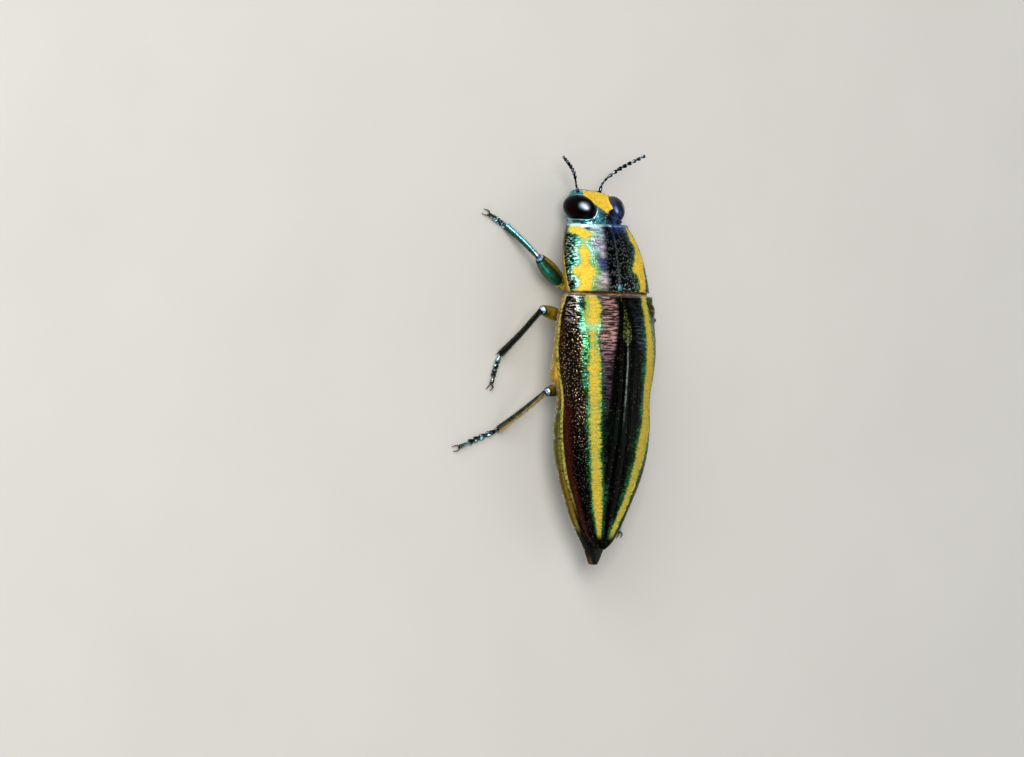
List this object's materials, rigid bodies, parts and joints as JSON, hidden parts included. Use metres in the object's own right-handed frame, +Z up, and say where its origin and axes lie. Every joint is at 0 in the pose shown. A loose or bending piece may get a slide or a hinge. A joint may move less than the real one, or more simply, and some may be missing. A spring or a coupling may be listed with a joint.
{
  "type": "jewel beetle",
  "caption": "Still, life-size slender jewel beetle standing on its legs, with separate shell plates, wing cases, eyes, feelers and leg parts",
  "frame": {"origin": "on the floor, under the middle of the whole animal's box, feet and feelers included", "axes": "+Z up, the head points to -Y and the tip of the abdomen to +Y, the beetle's own left side is +X"},
  "size_m": [0.0194, 0.0332, 0.0072],
  "materials": {
    "head_shell": "metallic teal and blue cuticle with a powdery golden-yellow patch on the brow",
    "pronotum_shell": "pitted metallic cuticle, black along the middle, teal beside it, with a broad golden-yellow band on each side",
    "wing_case_shell": "glossy black cuticle with green, violet and maroon sheen and one powdery golden-yellow stripe on each wing case",
    "eye": "polished dark brown, very finely faceted",
    "feeler": "dark metallic with pale joints",
    "mouthparts": "dark metallic green, amber at the edges",
    "underside_shell": "brassy orange-yellow and green metallic cuticle with short pale hairs",
    "hip_shell": "yellow-green metallic cuticle",
    "leg_shell": "polished metallic green and blue cuticle with a yellow edge",
    "foot_shell": "steel-blue metallic joints with pale pads underneath"
  },
  "bodies": {
    "root": {"head": "head_shell", "eye_left": "eye", "eye_right": "eye", "antenna_left": "feeler", "antenna_right": "feeler", "labrum": "mouthparts", "mandible_left": "mouthparts", "mandible_right": "mouthparts", "pronotum": "pronotum_shell", "prosternum": "underside_shell", "mesothorax": "underside_shell", "metathorax": "underside_shell", "scutellum": "wing_case_shell", "elytron_left": "wing_case_shell", "elytron_right": "wing_case_shell", "abdomen_base": "underside_shell", "abdomen_third": "underside_shell", "abdomen_fourth": "underside_shell", "abdomen_fifth": "underside_shell", "abdomen_tip": "underside_shell", "coxa_fore_left": "hip_shell", "coxa_fore_right": "hip_shell", "coxa_mid_left": "hip_shell", "coxa_mid_right": "hip_shell", "coxa_hind_left": "hip_shell", "coxa_hind_right": "hip_shell", "femur_fore_left": "leg_shell", "femur_fore_right": "leg_shell", "femur_mid_left": "leg_shell", "femur_mid_right": "leg_shell", "femur_hind_left": "leg_shell", "femur_hind_right": "leg_shell", "tibia_fore_left": "leg_shell", "tibia_fore_right": "leg_shell", "tibia_mid_left": "leg_shell", "tibia_mid_right": "leg_shell", "tibia_hind_left": "leg_shell", "tibia_hind_right": "leg_shell", "tarsus_fore_left": "foot_shell", "tarsus_fore_right": "foot_shell", "tarsus_mid_left": "foot_shell", "tarsus_mid_right": "foot_shell", "tarsus_hind_left": "foot_shell", "tarsus_hind_right": "foot_shell"}
  },
  "joints": []
}
